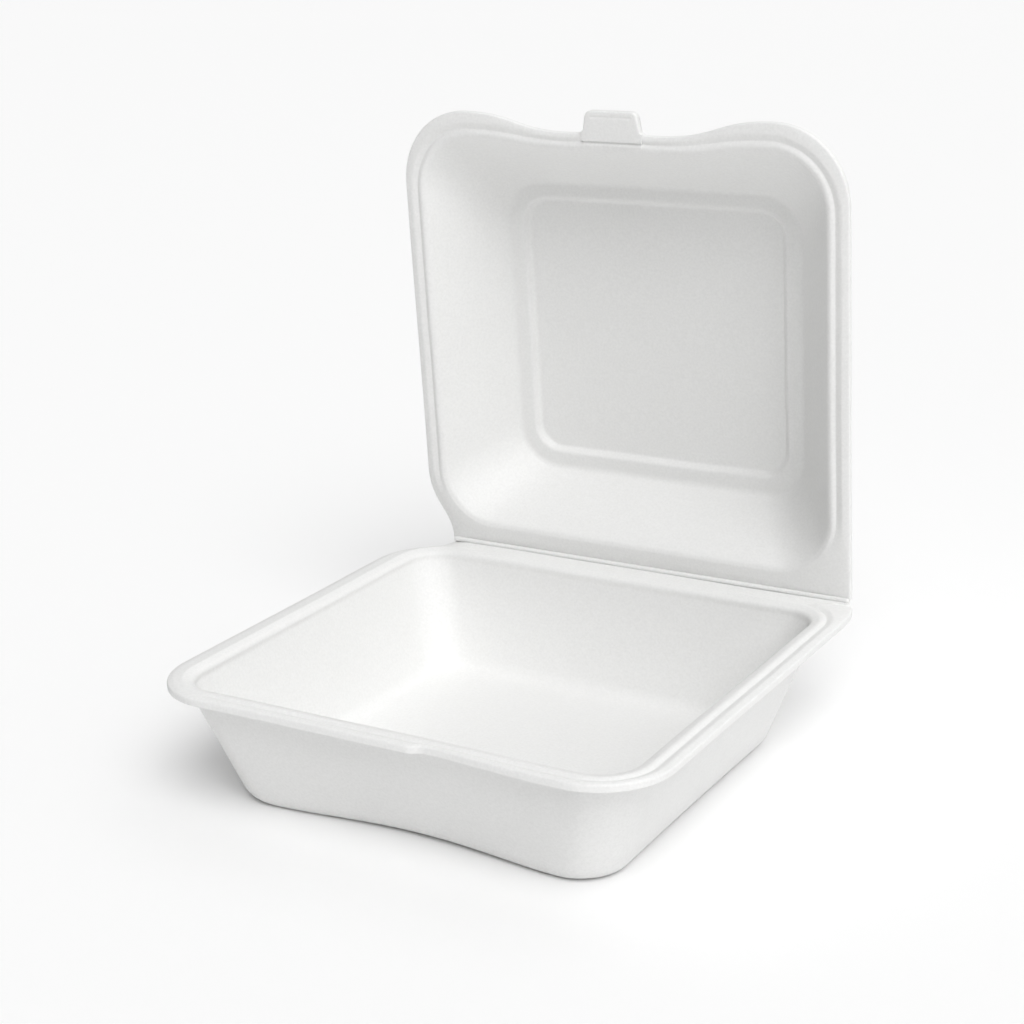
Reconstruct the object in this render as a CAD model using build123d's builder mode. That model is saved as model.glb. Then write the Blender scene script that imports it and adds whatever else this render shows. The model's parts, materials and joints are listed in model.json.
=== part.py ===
# Hinged foam clamshell box, standing open.
# One thermoformed sheet makes the tray, the lid and the lid's front tab.
# Millimetres. X runs along the hinge, Y from the front to the hinge, Z up.
# The origin is on the floor, under the middle of the tray's rim.
from build123d import *
import math
import os

# Foam sheet
foam = 2.4                  # thickness of the formed sheet
edge_round = 0.8            # rounding of the sheet's cut top edge
under_bevel = 0.5           # bevel of the cut edge below
overrun = 4.0               # how far a cutting solid reaches past what it cuts

# Tray
tray_width = 150.0          # across the outer lip
tray_length = 139.5         # from the front lip to the hinge
tray_height = 36.0          # floor to the top of the rim
tray_corner = 20.0          # plan radius of the outer lip
tray_rim = 8.0              # from the lip's edge to the mouth, at the sides
tray_front_rim = 7.2        # the same at the front
tray_rear_rim = 9.6         # from the hinge to the mouth
tray_draft = 12.2           # how far the side and rear walls draw in on their way down
tray_front_draft = 9.9      # the same for the front wall
mouth_corner = 10.5         # plan radius of the mouth
base_corner = 10.0          # plan radius at the foot of the wall
base_round = 6.5            # rounding between wall and floor, outside
front_sag = 3.6             # inward bow of the front wall at its foot
tray_roll = 3.6             # soft turn from the rim into the wall

# Rim section, shared by both halves
rim_gap = 0.3               # between the two rims when the box is shut
ridge_setback = 3.2         # from the lip's edge to the raised ridge
lip_drop = 0.45             # the outer lip lies this far below the ridge
groove_width = 1.0          # pressed line between ridge and lip
groove_depth = 0.5          # its depth below the lip
ridge_bevel = 0.35          # bevel of the ridge's outer edge
rear_ridge_setback = 3.4    # from the hinge to the ridge, on both halves

# Hinge
bead_radius = 0.9           # pressed bead that the sheet turns on
bead_gap = 0.3              # running clearance round the bead
notch_inset = 11.8          # from the tray's left side to the sheet's end at the hinge
web_inset = 3.0             # the same at the right end, where the web is full
web_right_reach = 13.0      # how far ahead of the hinge the right web turns in
notch_reach_tray = 30.0     # the rounded left notch, along the tray
notch_reach_lid = 20.0      # and along the lid
open_angle = 87.0           # how far the lid stands open

# Lid
lid_width = 142.0           # across the outer lip
lid_peak = 135.9            # hinge to the front corners' bulge
lid_dip = 130.9             # hinge to the front edge beside the tab
lid_corner = 22.0           # plan radius of the front corners
dip_half = 15.0             # half of the straight stretch around the tab
lid_rim = 6.2               # from the lip's edge to the mouth, at the sides
lid_rear_rim = 6.6          # from the hinge to the mouth
lid_front_rim = 4.4         # from the dip's edge to the mouth
dip_ridge_setback = 0.9     # ridge setback at the dip, where the lip fades out
mouth_wave_share = 0.45     # how much of the front edge's wave the mouth follows
lid_depth = 22.0            # rim to the ledge around the panel
lid_side_draft = 16.4       # how far the side walls draw in
lid_front_draft = 15.0
lid_rear_draft = 14.0
lid_mouth_corner = 17.0
ledge_corner = 13.0
ledge_round = 6.0           # rounding between wall and ledge, outside
lid_roll = 3.4

# Panel pressed into the lid
panel_width = 83.4
panel_rear = 27.0           # hinge to the panel's lower edge
panel_front = 105.6         # hinge to its upper edge
panel_corner = 7.0
panel_step = 2.0            # how much deeper the panel lies than the ledge
panel_slope = 1.4           # run of the sloped step
panel_round = 0.9

# Front tab
tab_root_width = 19.6
tab_tip_width = 16.4
tab_corner = 2.0
tab_crease = 128.8          # hinge to the pressed line that the tab folds on
tab_tip = 137.4             # hinge to the tab's tip
tab_slit = 0.3              # width of the parted foam in the crease
tab_bevel = 0.5             # pressed slope on each side of the crease
tab_line_setback = 1.7      # pressed line across the tab, from its tip
tab_line_length = 13.4
tab_line_width = 0.7
tab_line_depth = 0.35
tab_side_gap = 0.3          # parted foam beside the tab's root

# Catch in the tray's front lip
catch_start = 12.0          # its crisp end, right of the middle
catch_margin = 5.0          # from where it has faded out to the lip's corner
catch_depth = 1.8
catch_step = 2.4            # run of the crisp end

# Places worked out from the sizes
front_y = -tray_length / 2
axis_y = tray_length / 2
axis_z = tray_height + rim_gap / 2
half_tray = tray_width / 2
half_lid = lid_width / 2
hinge_left = half_tray - notch_inset
hinge_right = half_tray - web_inset
catch_end = half_tray - tray_corner - catch_margin
middle_share = 3 / 8        # how much of its middle point a five-point curve follows

os.makedirs("parts", exist_ok=True)


# Closed outline of the tray on a plane, its front side bowed in by sag
def tray_loop(plane, half_width, front, rear, corner, sag=0):
    flat = half_width - corner
    bow = sag / middle_share
    with BuildSketch(plane) as face:
        with BuildLine():
            Line((half_width, front + corner), (half_width, rear - corner))
            CenterArc((flat, rear - corner), corner, 0, 90)
            Line((flat, rear), (-flat, rear))
            CenterArc((-flat, rear - corner), corner, 90, 90)
            Line((-half_width, rear - corner), (-half_width, front + corner))
            CenterArc((-flat, front + corner), corner, 180, 90)
            Bezier((-flat, front), (-flat / 2, front), (0, front + bow), (flat / 2, front), (flat, front))
            CenterArc((flat, front + corner), corner, 270, 90)
        make_face()
    return face.sketch


# Closed outline on the lid's plane, where Y runs from the hinge to the front
def lid_loop(plane, half_width, rear, peak, dip, corner):
    flat = half_width - corner
    middle = (flat + dip_half) / 2
    with BuildSketch(plane) as face:
        with BuildLine():
            Line((half_width, rear + corner), (half_width, peak - corner))
            CenterArc((flat, peak - corner), corner, 0, 90)
            Bezier((flat, peak), (middle, peak), (middle, dip), (dip_half, dip))
            Line((dip_half, dip), (-dip_half, dip))
            Bezier((-dip_half, dip), (-middle, dip), (-middle, peak), (-flat, peak))
            CenterArc((-flat, peak - corner), corner, 90, 90)
            Line((-half_width, peak - corner), (-half_width, rear + corner))
            CenterArc((-flat, rear + corner), corner, 180, 90)
            Line((-flat, rear), (flat, rear))
            CenterArc((flat, rear + corner), corner, 270, 90)
        make_face()
    return face.sketch


# Outer edge of the tray's rim, up to the hinge
def tray_edge(plane):
    flat = half_tray - tray_corner
    corner_y = front_y + tray_corner
    end = axis_y - bead_gap / 2
    notch_y = end - notch_reach_tray
    web_y = end - web_right_reach
    with BuildSketch(plane) as face:
        with BuildLine():
            Line((hinge_right, end), (-hinge_left, end))
            Bezier((-hinge_left, end), (-hinge_left, end - tray_rim / 3),
                   (-half_tray, end - notch_reach_tray / 3), (-half_tray, notch_y))
            Line((-half_tray, notch_y), (-half_tray, corner_y))
            CenterArc((-flat, corner_y), tray_corner, 180, 90)
            Line((-flat, front_y), (flat, front_y))
            CenterArc((flat, corner_y), tray_corner, 270, 90)
            Line((half_tray, corner_y), (half_tray, web_y))
            Bezier((half_tray, web_y), (half_tray, end - web_right_reach / 3), (hinge_right, end))
        make_face()
    return face.sketch


# Outer edge of the lid's rim, from the hinge to the wavy front
def lid_edge(plane):
    flat = half_lid - lid_corner
    middle = (flat + dip_half) / 2
    start = bead_gap / 2
    corner_y = lid_peak - lid_corner
    notch_y = start + notch_reach_lid
    notch_middle = start + notch_reach_lid / 2
    with BuildSketch(plane) as face:
        with BuildLine():
            Line((-hinge_left, start), (half_lid, start))
            Line((half_lid, start), (half_lid, corner_y))
            CenterArc((flat, corner_y), lid_corner, 0, 90)
            Bezier((flat, lid_peak), (middle, lid_peak), (middle, lid_dip), (dip_half, lid_dip))
            Line((dip_half, lid_dip), (-dip_half, lid_dip))
            Bezier((-dip_half, lid_dip), (-middle, lid_dip), (-middle, lid_peak), (-flat, lid_peak))
            CenterArc((-flat, corner_y), lid_corner, 90, 90)
            Line((-half_lid, corner_y), (-half_lid, notch_y))
            Bezier((-half_lid, notch_y), (-half_lid, notch_middle),
                   (-hinge_left, notch_middle), (-hinge_left, start))
        make_face()
    return face.sketch


# Tray
tray_slope = tray_draft / tray_height
front_slope = tray_front_draft / tray_height
tray_run = foam * math.hypot(1, tray_slope)
mouth_half = half_tray - tray_rim
mouth_front = front_y + tray_front_rim
mouth_rear = axis_y - tray_rear_rim
mouth_corner_slope = (mouth_corner - base_corner) / tray_height
rim_top = Plane.XY.offset(tray_height)
catch_y = front_y + catch_depth


# Outline of the tray wall's inside (run 0) or outside at a height
def tray_wall(height, run, sag):
    below = tray_height - height
    draw = tray_slope * below - run
    front = mouth_front + front_slope * below - run
    corner = mouth_corner - mouth_corner_slope * below + run
    plane = Plane.XY.offset(height)
    return tray_loop(plane, mouth_half - draw, front, mouth_rear - draw, corner, sag)


# Outline around the tray's ridge, grown by margin
def tray_ridge(plane, margin=0):
    inset = ridge_setback - margin
    rear = axis_y - rear_ridge_setback + margin
    return tray_loop(plane, half_tray - inset, front_y + inset, rear, tray_corner - inset)


with BuildPart() as tray_hollow:
    loft(sections=[tray_wall(foam, 0, front_sag), tray_wall(tray_height + overrun, 0, 0)])
    fillet(tray_hollow.faces().sort_by(Axis.Z)[0].edges(), base_round - foam)

with BuildPart() as tray_lip:
    add(tray_edge(rim_top.offset(-foam)))
    extrude(amount=foam - lip_drop)
    with BuildSketch(rim_top):
        with BuildLine():
            Polyline((catch_start, front_y - overrun), (catch_start, catch_y),
                     (catch_start + catch_step, catch_y), (catch_end, front_y),
                     (catch_end, front_y - overrun), close=True)
        make_face()
    extrude(amount=-overrun, mode=Mode.SUBTRACT)
    free = tray_lip.edges().filter_by(lambda edge: edge.center().Y < axis_y - bead_gap)
    fillet(free.group_by(Axis.Z)[-1], edge_round)
    free = tray_lip.edges().filter_by(lambda edge: edge.center().Y < axis_y - bead_gap)
    chamfer(free.group_by(Axis.Z)[0], under_bevel)
    groove_floor = rim_top.offset(-lip_drop - groove_depth)
    extrude(tray_ridge(groove_floor, groove_width), amount=overrun, mode=Mode.SUBTRACT)

with BuildPart() as tray:
    loft(sections=[tray_wall(0, tray_run, front_sag), tray_wall(tray_height, tray_run, 0)])
    fillet(tray.faces().sort_by(Axis.Z)[0].edges(), base_round)
    extrude(tray_ridge(rim_top.offset(-foam)), amount=foam)
    chamfer(tray.edges().group_by(Axis.Z)[-1], ridge_bevel)
    extrude(tray_ridge(rim_top.offset(-foam), groove_width), amount=foam - lip_drop - groove_depth)
    add(tray_lip.part)
    flats = tray.faces().filter_by(Axis.Z)
    under = flats.filter_by(lambda face: abs(face.center().Z - tray_height + foam) < under_bevel)
    fillet(under.sort_by(SortBy.AREA)[-1].inner_wires()[0].edges(), tray_roll - foam)
    add(tray_hollow.part, mode=Mode.SUBTRACT)
    mouth = tray.faces().sort_by(Axis.Z)[-1].inner_wires()[0]
    fillet(mouth.edges(), tray_roll)
    with Locations((0, axis_y, axis_z)):
        Cylinder(bead_radius + bead_gap, 2 * tray_width, rotation=(0, 90, 0), mode=Mode.SUBTRACT)


# Lid, drawn on a plane through the hinge that stands at the open angle
swing = math.radians(open_angle)
lid_inward = (0, -math.sin(swing), -math.cos(swing))
hinge_plane = Plane(origin=(0, axis_y, axis_z), x_dir=(1, 0, 0), z_dir=lid_inward)
lid_plane = hinge_plane.offset(-rim_gap / 2)
lid_mouth_half = half_lid - lid_rim
lid_mouth_dip = lid_dip - lid_front_rim
lid_mouth_peak = lid_mouth_dip + (lid_peak - lid_dip) * mouth_wave_share
ledge_front = lid_mouth_dip - lid_front_draft
lid_run = foam * math.hypot(1, lid_side_draft / lid_depth)


# Outline of the lid wall's inside (run 0) or outside at a depth
def lid_wall(depth, run):
    share = depth / lid_depth
    half = lid_mouth_half - lid_side_draft * share + run
    rear = lid_rear_rim + lid_rear_draft * share - run
    peak = lid_mouth_peak + (ledge_front - lid_mouth_peak) * share + run
    dip = lid_mouth_dip + (ledge_front - lid_mouth_dip) * share + run
    corner = lid_mouth_corner + (ledge_corner - lid_mouth_corner) * share + run
    return lid_loop(lid_plane.offset(-depth), half, rear, peak, dip, corner)


# Outline around the lid's ridge, grown by margin
def lid_ridge(plane, margin=0):
    inset = ridge_setback - margin
    rear = rear_ridge_setback - margin
    dip = lid_dip - dip_ridge_setback + margin
    return lid_loop(plane, half_lid - inset, rear, lid_peak - inset, dip, lid_corner - inset)


# Outline of the panel, grown by margin
def panel_loop(plane, margin):
    width = panel_width + 2 * margin
    height = panel_front - panel_rear + 2 * margin
    with BuildSketch(plane) as face:
        with Locations((0, (panel_front + panel_rear) / 2)):
            RectangleRounded(width, height, panel_corner + margin)
    return face.sketch


# The face of a part that lies furthest along the lid's depth, outwards or inwards
def lid_faces(part):
    return part.faces().sort_by(Axis(lid_plane.origin, lid_plane.z_dir))


with BuildPart() as lid_hollow:
    loft(sections=[lid_wall(lid_depth, 0), lid_wall(-overrun, 0)])
    fillet(lid_faces(lid_hollow)[0].edges(), ledge_round - foam)
    ledge = lid_plane.offset(-lid_depth)
    panel = ledge.offset(-panel_step)
    loft(sections=[panel_loop(panel, 0), panel_loop(ledge, panel_slope)])
    fillet(lid_faces(lid_hollow)[0].edges(), panel_round)

with BuildPart() as lid_lip:
    extrude(lid_edge(lid_plane.offset(-foam)), amount=foam - lip_drop)
    top = lid_faces(lid_lip)[-1].edges().filter_by(Axis.X, reverse=True)
    fillet(top, edge_round)
    groove_floor = lid_plane.offset(-lip_drop - groove_depth)
    extrude(lid_ridge(groove_floor, groove_width), amount=overrun, mode=Mode.SUBTRACT)

with BuildPart() as lid:
    loft(sections=[lid_wall(lid_depth + foam, lid_run), lid_wall(0, lid_run)])
    fillet(lid_faces(lid)[0].edges(), ledge_round)
    back = lid_plane.offset(-lid_depth - foam)
    loft(sections=[panel_loop(back.offset(-panel_step), foam / 2), panel_loop(back, panel_slope + foam / 2)])
    extrude(lid_ridge(lid_plane.offset(-foam)), amount=foam)
    chamfer(lid_faces(lid)[-1].edges(), ridge_bevel)
    extrude(lid_ridge(lid_plane.offset(-foam), groove_width), amount=foam - lip_drop - groove_depth)
    add(lid_lip.part)
    flats = lid.faces().filter_by(lid_plane)
    flange_back = lid_plane.offset(-foam)
    under = flats.filter_by(lambda face: abs(flange_back.to_local_coords(face.center()).Z) < under_bevel)
    fillet(under.sort_by(SortBy.AREA)[-1].inner_wires()[0].edges(), lid_roll - foam)
    add(lid_hollow.part, mode=Mode.SUBTRACT)
    fillet(lid_faces(lid)[-1].inner_wires()[0].edges(), lid_roll)
    # pressed bead that turns in the tray's hollow
    with Locations(((half_lid - hinge_left) / 2, axis_y, axis_z)):
        Cylinder(bead_radius, half_lid + hinge_left, rotation=(0, 90, 0))
    # room for the tab
    with BuildSketch(lid_plane.offset(-2 * foam)):
        with Locations((0, tab_crease - tab_slit / 2)):
            Rectangle(tab_root_width + 2 * tab_side_gap, tab_tip, align=(Align.CENTER, Align.MIN))
    extrude(amount=2 * foam + overrun, mode=Mode.SUBTRACT)

# Front tab, from the pressed crease to its tip
with BuildPart() as front_tab:
    root = tab_crease + tab_slit / 2
    with BuildSketch(lid_plane.offset(-foam)):
        with BuildLine():
            Polyline((-tab_root_width / 2, root), (tab_root_width / 2, root),
                     (tab_root_width / 2, lid_dip), (tab_tip_width / 2, tab_tip),
                     (-tab_tip_width / 2, tab_tip), (-tab_root_width / 2, lid_dip), close=True)
        make_face()
    extrude(amount=foam - lip_drop)
    rises = front_tab.edges().filter_by(Axis(lid_plane.origin, lid_plane.z_dir))
    fillet(rises.sort_by(Axis(lid_plane.origin, lid_plane.y_dir))[-2:], tab_corner)
    top_edges = lid_faces(front_tab)[-1].edges().sort_by(Axis(lid_plane.origin, lid_plane.y_dir))
    fillet(top_edges[1:], edge_round)
    crease = lid_faces(front_tab)[-1].edges().sort_by(Axis(lid_plane.origin, lid_plane.y_dir))[0]
    chamfer(crease, tab_bevel)
    with BuildSketch(lid_plane.offset(-lip_drop - tab_line_depth)):
        with Locations((0, tab_tip - tab_line_setback)):
            Rectangle(tab_line_length, tab_line_width)
    extrude(amount=overrun, mode=Mode.SUBTRACT)

tray.part.label = "tray"
lid.part.label = "lid"
front_tab.part.label = "front_tab"
export_step(tray.part, "parts/tray.step")
export_step(lid.part, "parts/lid.step")
export_step(front_tab.part, "parts/front_tab.step")
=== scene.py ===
# Hinged foam clamshell food box, standing open on a pale floor.
# The tray and the lid are shells: a section of the foam sheet carried round their outline.
import json
import math
import bpy
import numpy as np
from mathutils import Matrix, Vector


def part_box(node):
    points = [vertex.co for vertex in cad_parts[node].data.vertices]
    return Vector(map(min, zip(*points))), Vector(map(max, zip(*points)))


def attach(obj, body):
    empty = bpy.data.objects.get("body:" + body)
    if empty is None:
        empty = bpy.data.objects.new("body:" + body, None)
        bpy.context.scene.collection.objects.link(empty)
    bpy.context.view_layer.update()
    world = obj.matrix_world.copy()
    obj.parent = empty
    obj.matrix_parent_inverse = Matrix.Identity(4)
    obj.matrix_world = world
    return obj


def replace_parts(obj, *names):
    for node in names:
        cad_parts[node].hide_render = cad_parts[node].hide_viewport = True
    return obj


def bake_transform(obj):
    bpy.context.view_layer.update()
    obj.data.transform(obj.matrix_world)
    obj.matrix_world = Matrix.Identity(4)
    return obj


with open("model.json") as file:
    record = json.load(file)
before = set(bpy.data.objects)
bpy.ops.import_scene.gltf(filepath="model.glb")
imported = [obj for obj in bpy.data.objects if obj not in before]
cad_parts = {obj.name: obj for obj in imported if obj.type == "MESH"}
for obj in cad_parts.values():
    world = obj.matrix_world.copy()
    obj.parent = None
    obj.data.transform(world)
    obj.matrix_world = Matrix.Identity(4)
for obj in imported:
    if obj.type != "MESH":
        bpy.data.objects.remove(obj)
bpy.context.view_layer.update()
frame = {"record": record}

mm = 0.001  # sizes below are millimetres, the scene is in metres

# the fold lines and the tray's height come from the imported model
joints = {j["name"]: j for j in frame["record"]["behaviour"]["joints"]}
hingeY, hingeZ = (v / mm for v in joints["lid_hinge"]["pos_m"][1:])
openAngle = math.radians(joints["lid_hinge"]["range_deg"][1])  # from the open pose to shut
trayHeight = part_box("tray")[1].z / mm

# foam sheet, shared by the whole box
sheet = {
    "thickness": 2.4,
    "rimGap": 0.3,        # between the two rims when shut
    "sideColumns": 84,    # samples along each side of an outline
    "cornerColumns": 40,
    "endColumns": 132,    # along the front and along the hinge
    "arcReach": 0.48,     # most that a rounded ring takes of the stretch beside it
    "rimShares": {"groove": 0.3, "lipCrown": 0.62},  # both stay within these shares of a rim's width
    "grooveRoom": (1.4, 3.4),  # the groove comes in as a rim widens between these
    "sharpAngle": 52.0,   # degrees, bends above it stay sharp
    "middleShare": 0.02,  # size of the smallest ring round a floor's middle
    "waver": 0.07,        # how far the surface wanders from true, as formed foam does
    "waverStart": 8.0,    # height at which the waver is full, since the base stays flat
    # slow waves: their step in radians along x, y and z for each mm, the way they move a point, phase
    "waves": [((0.11, 0.05, 0.07), (0.6, 0.5, 0.6), 0.4), ((-0.07, 0.13, 0.05), (0.5, -0.6, 0.6), 1.9),
              ((0.05, -0.09, 0.16), (-0.4, 0.7, 0.5), 3.1)],
}


# Bezier curve: control points weighed by the Bernstein polynomials, last point left out
def bezier(points, count):
    t = np.linspace(0, 1, count, endpoint=False)[:, None]
    degree = len(points) - 1
    return sum(math.comb(degree, i) * t ** i * (1 - t) ** (degree - i) * np.array(p, float)
               for i, p in enumerate(points))


# Straight stretch from a to b, last point left out
def stretch(a, b, count):
    t = np.linspace(0, 1, count, endpoint=False)[:, None]
    return np.array(a, float) * (1 - t) + np.array(b, float) * t


# Circular arc round a centre, last point left out
def arc(centre, radius, startDegrees, sweepDegrees, count):
    t = np.radians(startDegrees + np.linspace(0, sweepDegrees, count, endpoint=False))
    return np.stack([centre[0] + radius * np.cos(t), centre[1] + radius * np.sin(t)], 1)


# 0 below a, 1 above b, and a smooth S between
def ease(value, a, b):
    t = np.clip((value - a) / (b - a), 0, 1)
    return t * t * (3 - 2 * t)


# Closed outline, 8 stretches from the right side on: x across, v towards the hinge.
# frontShare places the front's samples from -1 to 1, and frontBow moves them in v.
# hinge, where given, has the curves of the right web and the left notch in place of the rear corners.
def outline(half, front, rear, corner, frontShare, frontBow=0, hinge=None):
    side, turn, end = sheet["sideColumns"], sheet["cornerColumns"], sheet["endColumns"]
    flat = half - corner
    web = bezier(hinge["web"], turn) if hinge else arc((flat, rear - corner), corner, 0, 90, turn)
    notch = bezier(hinge["notch"], turn) if hinge else arc((-flat, rear - corner), corner, 90, 90, turn)
    webEnd = hinge["web"][-1] if hinge else (flat, rear)
    notchEnd = hinge["notch"][-1] if hinge else (-half, rear - corner)
    return np.concatenate([
        stretch((half, front + corner), web[0], side),
        web,
        stretch(webEnd, notch[0], end),
        notch,
        stretch(notchEnd, (-half, front + corner), side),
        arc((-flat, front + corner), corner, 180, 90, turn),
        np.stack([frontShare * flat, front + frontBow + 0 * frontShare], 1),
        arc((flat, front + corner), corner, 270, 90, turn),
    ])


# Adds a height to an outline: one value or one for each column
def lift(loop, height):
    return np.column_stack([loop, np.broadcast_to(height, len(loop))])


# Ring drawn in to a small one round its middle: a share of the ring and the rest of the middle
def drawnIn(ring, middle):
    return ring * sheet["middleShare"] + middle * (1 - sheet["middleShare"])


# Unit vectors across a closed outline that runs anticlockwise, pointing out of it
def outward(loop):
    along = np.roll(loop, -1, axis=0) - np.roll(loop, 1, axis=0)
    across = np.stack([along[:, 1], -along[:, 0]], 1)
    return across / np.linalg.norm(across, axis=1, keepdims=True)


# Pressed groove and lip crown between a rim's crest and its edge. Both keep their distance from the
# crest while there is room. Where the groove fades, the rim falls to its edge as the square of the way.
def rimRings(crest, edge, sizes, fade, edgeFall):
    room = np.linalg.norm(edge - crest, axis=1)
    depth = fade * ease(room, *sheet["grooveRoom"])
    way = outward(crest)
    rings = []
    for name, share in sheet["rimShares"].items():
        reach, fall = sizes[name]
        at = np.minimum(reach, share * room)
        height = -depth * fall - (1 - depth) * edgeFall * (at / room) ** 2
        rings.append(lift(crest + way * at[:, None], height))
    return rings


# Section through control rings: straight between them, and at each ring an arc of its radius
# that touches both stretches, its reach held to under half of the shorter one.
# steps gives the samples along each straight stretch.
def section(rings, radii, steps, arcSteps=7):
    rows = []
    last = rings[0]
    for i in range(1, len(rings)):
        corner = rings[i]
        if i == len(rings) - 1:
            start, curve = corner, []
        else:
            back, ahead = rings[i - 1] - corner, rings[i + 1] - corner
            backLength = np.linalg.norm(back, axis=1, keepdims=True)
            aheadLength = np.linalg.norm(ahead, axis=1, keepdims=True)
            back, ahead = back / backLength, ahead / aheadLength
            # held off a straight line, where the arc would have no centre
            half = np.arccos(np.clip((back * ahead).sum(1, keepdims=True), -0.99999, 0.99999)) / 2
            room = sheet["arcReach"] * np.minimum(backLength, aheadLength)
            reach = np.minimum(radii[i] / np.tan(half), room)
            middle = back + ahead
            middle = middle / np.linalg.norm(middle, axis=1, keepdims=True)
            centre = corner + middle * reach / np.cos(half)
            a, b = corner + back * reach - centre, corner + ahead * reach - centre
            turn = math.pi - 2 * half
            curve = [centre + (np.sin((1 - t) * turn) * a + np.sin(t * turn) * b) / np.sin(turn)
                     for t in np.linspace(0, 1, arcSteps)]
            start = curve[0]
        count = steps[i - 1]
        rows += [last * (1 - t) + start * t for t in np.linspace(0, 1, count + 1, endpoint=False)[1:]]
        rows += curve
        last = curve[-1] if curve else start
    return np.array(rows)


# The slight unevenness of formed foam: the sum of slow sine waves, each along its own direction
def waver(points):
    shift = sum(np.sin(points @ np.array(k) + phase)[..., None] * np.array(way)
                for k, way, phase in sheet["waves"])
    fade = ease(points[..., 2:3], 0.0, sheet["waverStart"])
    return points + sheet["waver"] * shift * fade


# Mesh object from rows of a closed section grid, with one point closing each end. Faces
# are turned outwards by the sign of the enclosed volume, and real edges stay sharp.
def shellObject(name, rows, firstPole, lastPole, body):
    count, columns = rows.shape[:2]
    points = np.concatenate([[firstPole], rows.reshape(-1, 3), [lastPole]]) * mm
    i, j = np.meshgrid(np.arange(count - 1), np.arange(columns), indexing="ij")
    k = (j + 1) % columns
    quads = np.stack([1 + i * columns + j, 1 + i * columns + k,
                      1 + (i + 1) * columns + k, 1 + (i + 1) * columns + j], -1).reshape(-1, 4)
    j = np.arange(columns)
    k = (j + 1) % columns
    top = 1 + (count - 1) * columns
    fans = np.concatenate([np.stack([0 * j, k, j], 1) + [0, 1, 1],
                           np.stack([0 * j + len(points) - 1, top + j, top + k], 1)])
    a, b, c, d = (points[quads[:, n]] for n in range(4))
    if (np.cross(a, b) * c).sum() + (np.cross(a, c) * d).sum() < 0:
        quads, fans = quads[:, ::-1], fans[:, ::-1]
    corners = np.concatenate([quads.ravel(), fans.ravel()])
    sizes = np.concatenate([np.full(len(quads), 4), np.full(len(fans), 3)])
    mesh = bpy.data.meshes.new(name)
    mesh.vertices.add(len(points))
    mesh.vertices.foreach_set("co", points.ravel())
    mesh.loops.add(len(corners))
    mesh.loops.foreach_set("vertex_index", corners)
    mesh.polygons.add(len(sizes))
    mesh.polygons.foreach_set("loop_start", np.concatenate([[0], np.cumsum(sizes)[:-1]]))
    mesh.polygons.foreach_set("use_smooth", np.ones(len(sizes), bool))
    mesh.update(calc_edges=True)
    mesh.validate()
    mesh.set_sharp_from_angle(angle=math.radians(sheet["sharpAngle"]))
    mesh.materials.append(foamSheet)
    piece = bpy.data.objects.new(name, mesh)
    bpy.context.collection.objects.link(piece)
    if body:
        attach(piece, body)
    print(name, len(points), "points", 2 * len(quads) + len(fans), "triangles")
    return piece


# sRGB hex to linear colour: the part above 0.04045 is ((c + 0.055) / 1.055) to the power 2.4
def hexColour(code):
    c = np.array([int(code[i:i + 2], 16) for i in (1, 3, 5)]) / 255
    linear = np.where(c <= 0.04045, c / 12.92, ((c + 0.055) / 1.055) ** 2.4)
    return (*linear.tolist(), 1.0)


# Adds a node, sets its named values and links sockets to its inputs
def addNode(tree, kind, values=None, links=None, **settings):
    node = tree.nodes.new(kind)
    for key, value in settings.items():
        setattr(node, key, value)
    for key, value in (values or {}).items():
        node.inputs[key].default_value = value
    for key, socket in (links or {}).items():
        tree.links.new(socket, node.inputs[key])
    return node


# Thermoformed expanded polystyrene foam sheet: a closed skin of fine cells, so it is matt white
# with a faint satin sheen, and a little light runs through it and softens its shadows.
foam = {
    "colour": "#F0F0EF",
    "thinColour": "#EAEAE9",   # where cells near the skin are opener
    "roughness": (0.51, 0.62),  # in the hollows and on the swells of the skin
    "ior": 1.49,
    "cell": 0.75,              # mm, drawn about twice as coarse as real cells so that it shows
    "peel": 4.5,               # mm between the soft swells of the formed skin
    "cellRelief": 0.03,        # mm
    "peelRelief": 0.05,        # mm
    "scatter": 0.22,
    "scatterReach": 2.2,       # mm
    "noiseSpan": {"From Min": 0.3, "From Max": 0.7},  # where nearly all noise values lie
}


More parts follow.
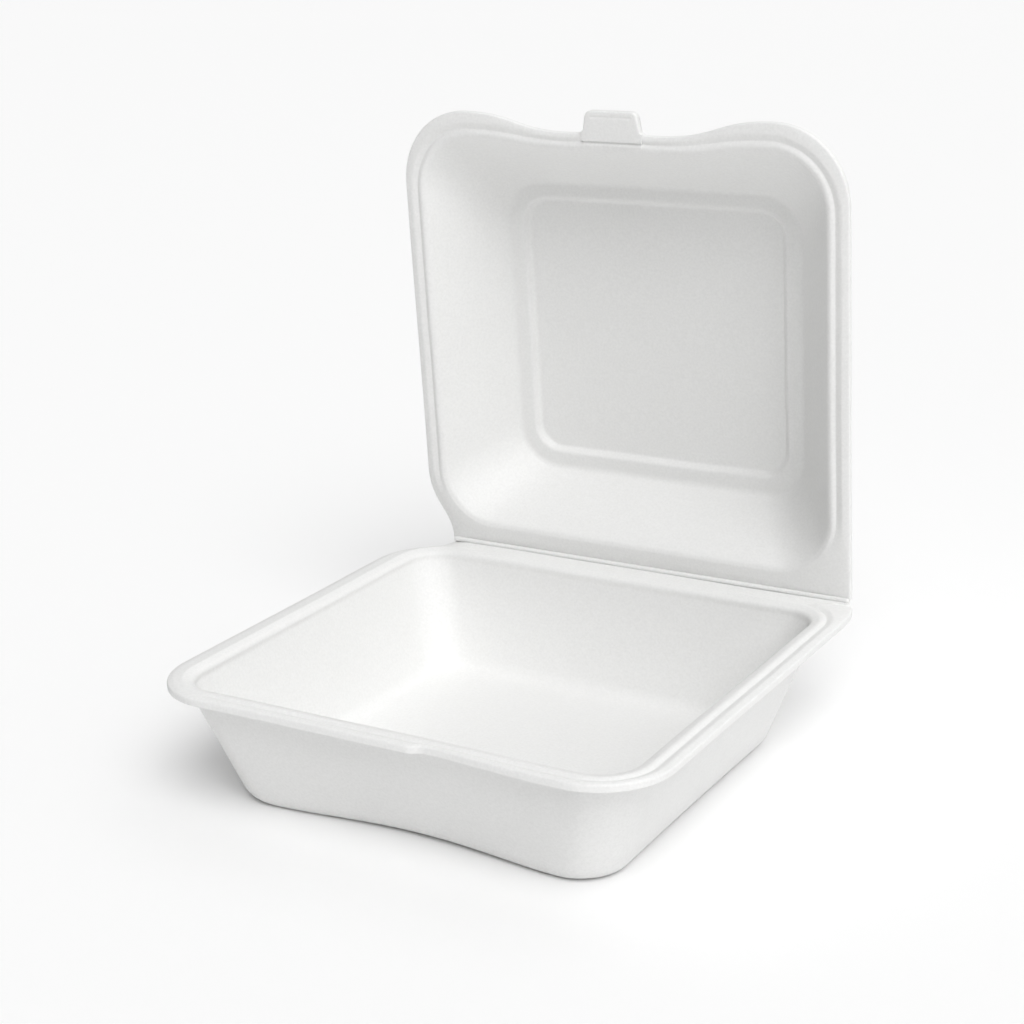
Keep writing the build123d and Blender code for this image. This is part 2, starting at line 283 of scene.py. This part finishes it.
# Cell noise tints the foam and gives its grain, and a slower noise its swells and its sheen
def foamMaterial():
    material = bpy.data.materials.new("foamSheet")
    material.use_nodes = True
    tree = material.node_tree
    tree.nodes.clear()
    place = addNode(tree, "ShaderNodeTexCoord").outputs["Object"]
    cells = addNode(tree, "ShaderNodeTexNoise",
                    {"Scale": 1 / (foam["cell"] * mm), "Detail": 2.0, "Roughness": 0.6}, {"Vector": place})
    peel = addNode(tree, "ShaderNodeTexNoise",
                   {"Scale": 1 / (foam["peel"] * mm), "Detail": 1.0}, {"Vector": place})
    tone = addNode(tree, "ShaderNodeMapRange", foam["noiseSpan"], {"Value": cells.outputs["Fac"]})
    ramp = addNode(tree, "ShaderNodeValToRGB", None, {"Fac": tone.outputs["Result"]})
    ramp.color_ramp.elements[0].color = hexColour(foam["thinColour"])
    ramp.color_ramp.elements[1].color = hexColour(foam["colour"])
    gloss = addNode(tree, "ShaderNodeMapRange",
                    {**foam["noiseSpan"], "To Min": foam["roughness"][0], "To Max": foam["roughness"][1]},
                    {"Value": peel.outputs["Fac"]})
    swell = addNode(tree, "ShaderNodeBump", {"Strength": 1.0, "Distance": foam["peelRelief"] * mm},
                    {"Height": peel.outputs["Fac"]})
    grain = addNode(tree, "ShaderNodeBump", {"Strength": 1.0, "Distance": foam["cellRelief"] * mm},
                    {"Height": cells.outputs["Fac"], "Normal": swell.outputs["Normal"]})
    shader = addNode(tree, "ShaderNodeBsdfPrincipled",
                     {"IOR": foam["ior"], "Subsurface Weight": foam["scatter"],
                      "Subsurface Radius": (1.0, 1.0, 1.0), "Subsurface Scale": foam["scatterReach"] * mm},
                     {"Base Color": ramp.outputs["Color"], "Roughness": gloss.outputs["Result"],
                      "Normal": grain.outputs["Normal"]})
    addNode(tree, "ShaderNodeOutputMaterial", None, {"Surface": shader.outputs["BSDF"]})
    return material


foamSheet = foamMaterial()

# Tray
tray = {
    "half": 75.0,            # half the width across the lip
    "corner": 20.0,
    "rim": 8.0,              # lip's edge to the mouth, at the sides
    "frontRim": 7.2,
    "rearRim": 9.6,          # hinge to the mouth
    "draft": 12.2,           # how far the side and rear walls draw in
    "frontDraft": 9.9,
    "mouthCorner": 10.5,
    "footCorner": 10.0,
    "footRound": 6.5,
    "frontSag": 3.6,         # inward bow of the front wall at its foot
    "mouthDepth": 0.9,       # where the rim's fall meets the wall
    "throat": (2.9, 0.4),    # foot of the steep strip under the mouth, and how much wider it is there
    "crest": 2.7,            # ridge, from the mouth outwards
    "groove": (1.45, 0.75),  # beyond the crest, below it
    "lipCrown": (3.2, 0.08),
    "lipEdge": 0.5,          # height that the lip loses at its edge
    "left": (35.0, 70.0),    # the left side's softer pressing comes in between these distances
    "leftWear": (0.9, 0.25, 0.35),  # there: share of the groove lost, more fall of the lip, steeper strip
    "hollow": 1.0,           # height lost along the hinge, where the lid's bead turns
    "hollowReach": 0.9,
    "hollowStart": (3.0, 0.4),  # it comes in between these distances from the hinge
    "hollowLeft": (-63.0, -20.0),  # and lines up with the edge between these places along it
    "lipTurn": 0.2,          # how far the lip turns down below the sheet's thickness
    "web": [(75.0, 56.0), (75.0, 64.8), (71.4, 69.6)],
    "notch": [(-63.2, 69.6), (-62.0, 62.0), (-67.5, 61.5), (-75.0, 57.0), (-75.0, 44.0)],
    "grooveRear": (50.0, 60.0),  # along the rear, from the first y to the second, the groove fades
    "grooveEnd": (34.0, 57.0),  # towards the middle, between these distances from it
    "catch": (11.0, 4.0, 50.0, 1.6),  # crisp end, its run, faded end, depth of the front catch
    "footSoft": 1.0,         # how much softer the foot's inside is than an even sheet's
    # rounding of the throat, the mouth, the crest, the groove, the crown, the edge and its underside,
    # and where the wall meets the rim below
    "rounds": (3.0, 2.2, 1.9, 0.55, 1.8, 0.6, 0.4, 1.2),
    "steps": (12, 14, 2, 2, 2, 2, 2, 2, 3, 16, 8),  # samples from each ring to the next
}


# Tray shell from 12 rings: floor, foot, throat, mouth, crest, groove, crown, edge, its underside, wall,
# foot and base. The walls draw in evenly with depth.
def makeTray():
    t, foamThick = tray, sheet["thickness"]
    share = np.linspace(-1, 1, sheet["endColumns"], endpoint=False)
    x = share * (t["half"] - t["corner"])
    front, height = -hingeY, trayHeight
    slope, frontSlope = t["draft"] / height, t["frontDraft"] / height
    run = foamThick * math.hypot(1, slope)
    # the sag's curve peaks at the middle and is level at both ends
    sag = t["frontSag"] * 16 * ((share + 1) / 2) ** 2 * ((1 - share) / 2) ** 2

    # wall outline at a depth below the rim, grown towards the outside
    def wall(depth, grow):
        draw, frontDraw = slope * depth - grow, frontSlope * depth - grow
        corner = t["mouthCorner"] - (t["mouthCorner"] - t["footCorner"]) * depth / height + grow
        return lift(outline(t["half"] - t["rim"] - draw, front + t["frontRim"] + frontDraw,
                            hingeY - t["rearRim"] - draw, corner, share, sag * depth / height), -depth)

    start, rise, stop, depth = t["catch"]
    catch = depth * ease(x, start, start + rise) * (1 - ease(x, start + rise, stop))
    edge = outline(t["half"], front, hingeY, t["corner"], share, catch, t)
    crest = outline(t["half"] - t["rim"] + t["crest"], front + t["frontRim"] - t["crest"],
                    hingeY - t["rearRim"] + t["crest"], t["mouthCorner"] + t["crest"], share)
    atHinge = ease(edge[:, 1], *(hingeY - v for v in t["hollowStart"]))
    # the left side is pressed softer: a shallow groove, a lip that falls more and a steeper strip
    grooveLost, moreFall, steeper = t["leftWear"]
    left = ease(-edge[:, 0], *t["left"])
    edgeFall = (t["lipEdge"] + moreFall * left) * (1 - atHinge) + t["hollow"] * atHinge
    fade = np.maximum(1 - ease(crest[:, 1], *t["grooveRear"]), ease(np.abs(crest[:, 0]), *t["grooveEnd"]))
    fade = fade * (1 - grooveLost * left)
    throat = wall(*t["throat"])
    throat[:, 0] -= steeper * left
    groove, lip = rimRings(crest, edge, t, fade, edgeFall)
    # along the hinge the lip's crown stands back from the edge by the hollow's reach
    lip[:, 0] += atHinge * ease(edge[:, 0], *t["hollowLeft"]) * (edge[:, 0] - lip[:, 0])
    lip[:, 1] += atHinge * (edge[:, 1] - t["hollowReach"] - lip[:, 1])
    lip[:, 2] *= 1 - atHinge
    inner, outer = wall(height - foamThick, 0), wall(height, run)
    floorMiddle, baseMiddle = np.array([0, 0, foamThick - height]), np.array([0, 0, -height])
    rings = [drawnIn(inner, floorMiddle), inner, throat, wall(t["mouthDepth"], 0), lift(crest, 0), groove, lip,
             lift(edge, -edgeFall), lift(edge, -foamThick - t["lipTurn"]), wall(foamThick, run), outer,
             drawnIn(outer, baseMiddle)]
    radii = [0, t["footRound"] - foamThick + t["footSoft"], *t["rounds"], t["footRound"], 0]
    up = np.array([0, 0, height])
    rows = section(rings, radii, t["steps"]) + up
    return shellObject("foamTray", waver(rows), waver(floorMiddle + up), baseMiddle + up, "tray")


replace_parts(makeTray(), "tray")
print("tray made")

# Lid, drawn flat like the tray with v towards the hinge, then stood up on the hinge
lid = {
    "half": 71.0,
    "peak": 135.9,           # hinge to the front corners' bulge
    "dip": 130.9,            # hinge to the front edge beside the tab
    "corner": 22.0,
    "dipHalf": 15.0,         # half of the straight stretch around the tab
    "rim": 6.2,
    "rearRim": 6.6,
    "frontRim": 4.4,
    "waveShare": 0.45,       # how much of the front's wave the mouth follows
    "depth": 22.0,
    "sideDraft": 16.4,
    "frontDraft": 15.0,
    "rearDraft": 14.0,
    "mouthCorner": 17.0,
    "mouthDepth": 0.55,
    "ledgeCorner": 13.0,
    "ledgeRound": 4.2,
    "crest": 0.9,            # ridge, from the mouth outwards
    "groove": (1.2, 0.75),
    "lipCrown": (3.0, 0.08),
    "lipEdge": 0.5,
    "web": [(71.0, -8.0), (71.0, -4.0), (71.0, -0.15)],
    "notch": [(-63.2, -0.15), (-63.3, -9.0), (-70.8, -11.0), (-71.0, -22.0)],
    "panel": (83.4, 27.0, 105.6, 7.0),  # width, hinge to its near and far edges, corner
    "panelStep": 2.0,
    "panelSlope": 1.4,
    "slotHalf": 9.7,         # half the cut for the tab's root
    "slotEnd": 128.65,       # hinge to the pressed crease
    "slotRise": 1.0,         # run of the pressed slope below the crease
    "slotFall": 0.8,         # and its depth
    "slotBlend": (8.0, 14.0),  # the rim's crest leaves the crease between these distances from the middle
    "earReach": 1.6,         # fillet where the edge turns up beside the tab
    "earHeight": 0.5,
    "grooveRear": (13.0, 28.0),  # the groove comes in between these distances from the hinge
    "ledgeSoft": 0.6,        # how much softer the ledge's inside is than an even sheet's
    "panelRounds": (0.9, 1.2),
    # rounding of the mouth, the crest, the groove, the crown, the edge and its underside, and where the
    # wall meets the rim behind
    "rounds": (2.4, 1.4, 0.55, 1.8, 0.6, 0.4, 1.0),
    "steps": (8, 2, 5, 12, 2, 2, 2, 2, 2, 3, 12, 4, 2, 8),
    "slotWall": 0.02,        # columns stand this far to each side of the slot's wall
    "slotColumns": 34,       # samples across the slot, and across the straight stretch at each side of it
    "dipColumns": 12,
}


# Points (x, v, height) of the flat lid to the row frame, standing at the open angle
def standLid(points):
    up = np.array([0, -math.cos(openAngle), math.sin(openAngle)])
    inward = np.array([0, -math.sin(openAngle), -math.cos(openAngle)])
    h = points[..., 2:3] - sheet["rimGap"] / 2
    hingePoint = np.array([0, hingeY, hingeZ])
    return hingePoint + points[..., 0:1] * [1, 0, 0] - points[..., 1:2] * up + h * inward


# Front samples of the lid as shares of its flat, with two columns close together at each side of the slot
def lidFrontShare():
    flat, slot, near = lid["half"] - lid["corner"], lid["slotHalf"], lid["slotWall"]
    slotCount, dipCount = lid["slotColumns"], lid["dipColumns"]
    waveCount = (sheet["endColumns"] - slotCount - 2 * dipCount) // 2
    return np.concatenate([
        np.linspace(-flat, -lid["dipHalf"], waveCount, endpoint=False),
        np.linspace(-lid["dipHalf"], -slot - near, dipCount),
        np.linspace(-slot + near, slot - near, slotCount),
        np.linspace(slot + near, lid["dipHalf"], dipCount),
        np.linspace(lid["dipHalf"], flat, waveCount + 1, endpoint=False)[1:],
    ]) / flat


# Wave of the front edge at x: 0 at the corners, 1 at the dip, a cubic with level ends between
def wave(x, flat):
    t = np.linspace(0, 1, 200)
    ends = flat * (1 - t) ** 3 + lid["dipHalf"] * t ** 3
    across = ends + 3 * (flat + lid["dipHalf"]) / 2 * (t * (1 - t) ** 2 + t * t * (1 - t))
    down = 3 * t * t * (1 - t) + t ** 3
    return np.interp(-np.abs(x), -across, down)


# Lid shell from 15 rings: panel, its step, ledge, mouth, crest, groove, crown, edge and back again behind.
# The walls lean in evenly with depth, and the front's wave fades out towards the ledge.
def makeLid():
    t, foamThick = lid, sheet["thickness"]
    share, flat = lidFrontShare(), t["half"] - t["corner"]
    x = share * flat
    down = wave(x, flat)
    depth = t["depth"]
    run = foamThick * math.hypot(1, t["sideDraft"] / depth)
    mouthDip = t["dip"] - t["frontRim"]
    mouthPeak = mouthDip + (t["peak"] - t["dip"]) * t["waveShare"]
    mouthBow = (mouthPeak - mouthDip) * down

    # wall outline at a depth, grown towards the outside
    def wall(at, grow):
        k = at / depth
        front = -(mouthPeak + (mouthDip - t["frontDraft"] - mouthPeak) * k + grow)
        corner = t["mouthCorner"] + (t["ledgeCorner"] - t["mouthCorner"]) * k + grow
        return lift(outline(t["half"] - t["rim"] - t["sideDraft"] * k + grow, front,
                            -(t["rearRim"] + t["rearDraft"] * k - grow), corner, share,
                            mouthBow * max(1 - k, 0)), -at)

    # panel outline at a depth
    def panel(grow, at):
        width, near, far, corner = t["panel"]
        return lift(outline(width / 2 + grow, -(far + grow), -(near - grow), corner + grow, share), -at)

    # the edge rises beside the slot, and inside it stops at the crease
    ear = t["earHeight"] * np.clip(1 - (np.abs(x) - t["slotHalf"]) / t["earReach"], 0, 1) ** 2
    inSlot = np.abs(x) < t["slotHalf"]
    bow = np.where(inSlot, t["peak"] - t["slotEnd"], (t["peak"] - t["dip"]) * down - ear)
    edge = outline(t["half"], -t["peak"], 0, t["corner"], share, bow, t)
    # at the slot the crest moves to the foot of the crease's slope
    toCrease = t["slotRise"] - t["slotEnd"] + mouthDip + t["crest"]
    crestBow = mouthBow + toCrease * (1 - ease(np.abs(x), *t["slotBlend"]))
    crest = outline(t["half"] - t["rim"] + t["crest"], -(mouthPeak + t["crest"]), -(t["rearRim"] - t["crest"]),
                    t["mouthCorner"] + t["crest"], share, crestBow)
    edgeFall = np.full(len(edge), t["lipEdge"])
    frontEnd = len(edge) - sheet["cornerColumns"]
    edgeFall[frontEnd - len(share):frontEnd] = np.where(inSlot, t["slotFall"], t["lipEdge"])
    fade = ease(-crest[:, 1], *t["grooveRear"])
    groove, lip = rimRings(crest, edge, t, fade, edgeFall)
    back = depth + foamThick
    innerDepth, outerDepth = depth + t["panelStep"], back + t["panelStep"]
    inner, outer = panel(0, innerDepth), panel(foamThick / 2, outerDepth)
    middle = -(t["panel"][1] + t["panel"][2]) / 2
    innerMiddle, outerMiddle = np.array([0, middle, -innerDepth]), np.array([0, middle, -outerDepth])
    rings = [drawnIn(inner, innerMiddle), inner, panel(t["panelSlope"], depth), wall(depth, 0),
             wall(t["mouthDepth"], 0), lift(crest, 0), groove, lip, lift(edge, -edgeFall),
             lift(edge, -foamThick), wall(foamThick, run), wall(back, run),
             panel(t["panelSlope"] + foamThick / 2, back), outer, drawnIn(outer, outerMiddle)]
    radii = [0, *t["panelRounds"], t["ledgeRound"] - foamThick + t["ledgeSoft"], *t["rounds"],
             t["ledgeRound"], *t["panelRounds"][::-1], 0]
    rows = standLid(section(rings, radii, t["steps"]))
    poles = waver(standLid(innerMiddle)), waver(standLid(outerMiddle))
    return shellObject("foamLid", waver(rows), *poles, "lid")


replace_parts(makeLid(), "lid")
print("lid made")

# Fold-back tab on the lid's front edge, drawn on the flat lid as x and distance from the hinge
tab = {
    "root": 128.78,
    "rootHalf": 9.64,
    "flare": (131.3, 132.7, 8.95),  # fillet above the lid's edge: start, end, half width there
    "flareBend": (0.7, 0.3),  # its middle control point: share of the lean, rise above its start
    "tip": 137.4,
    "tipHalf": 8.2,
    "corner": 2.2,
    "slope": (0.12, 0.6),     # run and depth of the pressed slope above the crease
    "edgeRound": 0.5,
    "rootRound": 0.1,         # share of the rounding at the root, where the tab meets the slot
    "backInset": 0.3,         # bevel round the outer face
    "lineFromTip": 1.7,       # pressed line across the tab
    "lineHalf": 6.7,
    "lineWidth": 0.8,
    "lineDepth": 0.22,
    "lineFade": (-0.6, 0.3),  # the line fades out between these distances from its ends
}


# Outline of the tab drawn in by an inset: sharp at the root, rounded at the tip
def tabLoop(inset, rootInset):
    t = tab
    root, tip, corner = t["root"] + rootInset, t["tip"] - inset, t["corner"] - inset
    rootHalf, tipHalf = t["rootHalf"] - t["rootRound"] * inset, t["tipHalf"] - inset
    flareStart, flareEnd, flareHalf = t["flare"][0], t["flare"][1], t["flare"][2] - inset
    lean = math.degrees(math.atan2(flareHalf - tipHalf, tip - flareEnd))
    across, rise = math.sin(math.radians(lean)), math.cos(math.radians(lean))
    # the tip corner's centre stands a radius in from both the tip and the leaning side
    centre = tipHalf - corner / rise + corner * across / rise, tip - corner
    touch = centre[0] + corner * rise, centre[1] + corner * across
    leanShare, above = t["flareBend"]
    bend = flareHalf + across * (flareEnd - flareStart) * leanShare
    flare = [(rootHalf, flareStart), (bend, flareStart + above), (flareHalf, flareEnd)]
    return np.concatenate([
        stretch((-rootHalf, root), (rootHalf, root), 60),
        stretch((rootHalf, root), flare[0], 14),
        bezier(flare, 12),
        stretch(flare[-1], touch, 20),
        arc(centre, corner, lean, 90 - lean, 16),
        stretch((centre[0], tip), (-centre[0], tip), 60),
        arc((-centre[0], centre[1]), corner, 90, 90 - lean, 16),
        stretch((-touch[0], touch[1]), (-flareHalf, flareEnd), 20),
        bezier([(-x, s) for x, s in flare[::-1]], 12),
        stretch((-rootHalf, flareStart), (-rootHalf, root), 14),
    ])


# Tab from its outline: the flat inner face grown from a small loop, a rounded edge, the side, a bevel and
# the outer face
def makeTab():
    t, foamThick = tab, sheet["thickness"]
    middle = np.array([0, (t["root"] + t["tip"]) / 2])
    run, depth = t["slope"]
    around = np.radians(np.linspace(0, 90, 6))
    face, back = tabLoop(t["edgeRound"], run), tabLoop(t["backInset"], 0)
    small = sheet["middleShare"]
    rows = [lift(middle + (face - middle) * k, 0) for k in np.linspace(small, 1, 42)]
    # rounded top edge; along the root it is the pressed slope of the crease
    rows += [lift(tabLoop(t["edgeRound"] * (1 - math.sin(a)), run * (1 - math.sin(a))), 0)
             - [0, 0, t["edgeRound"] * (1 - math.cos(a))] for a in around[1:]]
    rows += [lift(tabLoop(0, 0), -h) for h in (depth, foamThick - t["backInset"])]
    rows += [lift(back, -foamThick)]
    rows += [lift(middle + (back - middle) * k, -foamThick) for k in np.linspace(0.9, small, 8)]
    rows = np.array(rows)
    # the pressed line: a bell-shaped channel in the flat face that fades at its ends
    off = (rows[..., 1] - (t["tip"] - t["lineFromTip"])) / (t["lineWidth"] / 2)
    ends = ease(np.abs(rows[..., 0]), *(t["lineHalf"] + v for v in t["lineFade"]))
    channel = np.exp(-off ** 2) * (1 - ends)
    rows[..., 2] -= t["lineDepth"] * channel * (rows[..., 2] > -0.01)
    rows[..., 1] *= -1
    poles = (waver(standLid(np.array([0, -middle[1], h]))) for h in (0, -foamThick))
    return shellObject("foamTab", waver(standLid(rows)), *poles, "front_tab")


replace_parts(makeTab(), "front_tab")
print("tab made")


# A closed section of (y, z) points carried along x, grown from its centre by a size at each station
def carried(points, centre, across, size):
    grow = size[:, None]
    y = centre[0] + grow * (points[:, 0] - centre[0])
    z = centre[1] + grow * (points[:, 1] - centre[1])
    return np.stack([np.broadcast_to(across[:, None], y.shape), y, z], -1)


def filmObject(name, ring, left, right, count):
    centre = ring.mean(0)
    rows = carried(ring, centre, np.linspace(left, right, count), np.ones(count))
    poles = (waver(np.array([x, *centre])) for x in (left, right))
    return shellObject(name, waver(rows), *poles, None)


# Stations along x from left to right with quarter-round ends of a radius
def roundedEnds(left, right, radius, count):
    a = np.radians(np.linspace(8, 90, 8))
    straight = np.linspace(left + radius, right - radius, count)[1:-1]
    across = np.concatenate([left + radius * (1 - np.cos(a)), straight, right - radius * (1 - np.cos(a[::-1]))])
    size = np.concatenate([np.sin(a), np.ones(count - 2), np.sin(a[::-1])])
    return across, size


# Pressed living hinge: the bead along the lid's root, and the thin film that joins lid and tray
hinge = {
    "left": -62.5,
    "right": 71.0,
    "beadRadius": 0.8,
    "film": (1.0, 1.6),       # inner and outer radius round the fold line
    "filmTuck": 0.7,          # how far its ends run into the foam
    "filmInset": 0.4,         # how far it stops short of the bead's ends
}


# Bead round the fold line itself, so that it turns in place
def makeBead():
    t = hinge
    centre = (hingeY, hingeZ)
    ring = arc(centre, t["beadRadius"], 0, 360, 28)
    across, size = roundedEnds(t["left"], t["right"], t["beadRadius"], 160)
    # the bead doesn't waver, so that it turns freely in the hollow
    poles = (np.array([x, *centre]) for x in (t["left"], t["right"]))
    return shellObject("hingeBead", carried(ring, centre, across, size), *poles, "lid")


# Film along a quarter turn round the fold line, from under the tray's rim to behind the lid's
def makeHingeFilm():
    t = hinge
    near, far = t["film"]
    turn = np.radians(np.linspace(-90, 0, 13))
    outer, inner = (np.stack([hingeY + r * np.cos(turn), hingeZ + r * np.sin(turn)], 1) for r in (far, near))
    trayEnd, lidEnd = hingeY - t["filmTuck"], hingeZ + t["filmTuck"]
    ring = np.concatenate([[(trayEnd, hingeZ - far)], outer, [(hingeY + far, lidEnd)],
                           [(hingeY + near, lidEnd)], inner[::-1], [(trayEnd, hingeZ - near)]])
    film = filmObject("hingeFilm", ring, t["left"] + t["filmInset"], t["right"] - t["filmInset"], 140)
    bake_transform(film)


# Thin film behind the tab's crease, on the fold line itself
crease = {
    "half": 9.3,
    "middle": 128.8,          # hinge to the fold line
    "reach": 0.9,             # how far it runs into the lid and the tab
    "depth": (0.42, 2.38),    # inner and outer face, below the lid's
    "bend": 0.5,              # it bends within this much of the fold line
}


# Flat film across the crease
def makeCreaseFilm():
    t = crease
    near, far = t["depth"]
    along = np.linspace(t["middle"] - t["reach"], t["middle"] + t["reach"], 13)
    flat = np.concatenate([np.stack([0 * along, -along, 0 * along - near], 1),
                           np.stack([0 * along, -along[::-1], 0 * along - far], 1)])
    film = filmObject("creaseFilm", standLid(flat)[:, 1:], -t["half"], t["half"], 60)
    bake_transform(film)


makeBead()
makeHingeFilm()
makeCreaseFilm()
print("hinge and crease made")

# Camera, solved from measured lines of the picture, and its soft studio
view = {
    "location": (272.53, -446.01, 242.35),  # mm
    "azimuth": 31.28,
    "elevation": 17.86,
    "roll": -2.0,
    "focal": 71.52,                       # mm
    "sensor": 36.0,
    "nearest": 0.01,                      # m
}


# Camera whose right, up and backward axes come from azimuth, elevation and roll
def makeCamera():
    a, e, r = (math.radians(view[k]) for k in ("azimuth", "elevation", "roll"))
    back = np.array([math.sin(a) * math.cos(e), -math.cos(a) * math.cos(e), math.sin(e)])
    right = np.cross(-back, [0, 0, 1])
    right = right / np.linalg.norm(right)
    up = np.cross(back, right)
    turned = math.cos(r) * right + math.sin(r) * up, -math.sin(r) * right + math.cos(r) * up
    data = bpy.data.cameras.new("viewCamera")
    data.lens, data.sensor_width, data.clip_start = view["focal"], view["sensor"], view["nearest"]
    camera = bpy.data.objects.new("viewCamera", data)
    place = np.eye(4)
    place[:3, 0], place[:3, 1], place[:3, 2] = turned[0], turned[1], back
    place[:3, 3] = np.array(view["location"]) * mm
    bpy.context.collection.objects.link(camera)
    camera.matrix_world = Matrix(place.tolist())
    bpy.context.scene.camera = camera


studio = {
    "floorColour": "#FDFDFD",  # uncoated white paper: matt, with hardly any sheen
    "floorRoughness": 0.95,
    "floorSheen": 0.1,
    "floorReach": 60.0,      # m
    # soft panels: direction, cosine where the panel's glow begins, light at its middle
    "panels": [((0.6, -0.6, 1), 0.88, 5.05), ((0, 1, 1), 0.6, 0.84), ((1, 0, 1), 0.6, 0.7),
               ((0, -0.45, 1), 0.88, 0.74), ((0.3, -1, 0.4), 0.6, 0.25), ((-0.7, 0.7, 1), 0.6, 0.2)],
}


# Room light: the sum of the panels, each growing evenly with the cosine from its rim to its middle
def makeRoom(world):
    world.use_nodes = True
    tree = world.node_tree
    way = addNode(tree, "ShaderNodeTexCoord").outputs["Generated"]
    total = None
    for direction, begins, light in studio["panels"]:
        cosine = addNode(tree, "ShaderNodeVectorMath", {1: Vector(direction).normalized()}, {0: way},
                         operation="DOT_PRODUCT")
        level = addNode(tree, "ShaderNodeMapRange", {"From Min": begins, "From Max": 1.0, "To Max": light},
                        {"Value": cosine.outputs["Value"]}).outputs["Result"]
        total = level if total is None else addNode(tree, "ShaderNodeMath", None, {0: total, 1: level},
                                                    operation="ADD").outputs["Value"]
    background = tree.nodes["Background"]
    background.inputs["Color"].default_value = (1, 1, 1, 1)
    tree.links.new(total, background.inputs["Strength"])


# Room, view and a wide paper floor
def makeStudio():
    scene = bpy.context.scene
    scene.view_settings.view_transform = "Standard"
    scene.world = bpy.data.worlds.new("softRoom")
    makeRoom(scene.world)
    paper = bpy.data.materials.new("palePaper")
    paper.use_nodes = True
    shader = paper.node_tree.nodes["Principled BSDF"]
    shader.inputs["Base Color"].default_value = hexColour(studio["floorColour"])
    shader.inputs["Roughness"].default_value = studio["floorRoughness"]
    shader.inputs["Specular IOR Level"].default_value = studio["floorSheen"]
    mesh = bpy.data.meshes.new("paleFloor")
    r = studio["floorReach"]
    mesh.from_pydata([(-r, -r, 0), (r, -r, 0), (r, r, 0), (-r, r, 0)], [], [(0, 1, 2, 3)])
    mesh.materials.append(paper)
    floor = bpy.data.objects.new("paleFloor", mesh)
    bpy.context.collection.objects.link(floor)


makeCamera()
makeStudio()
print("camera and studio made")
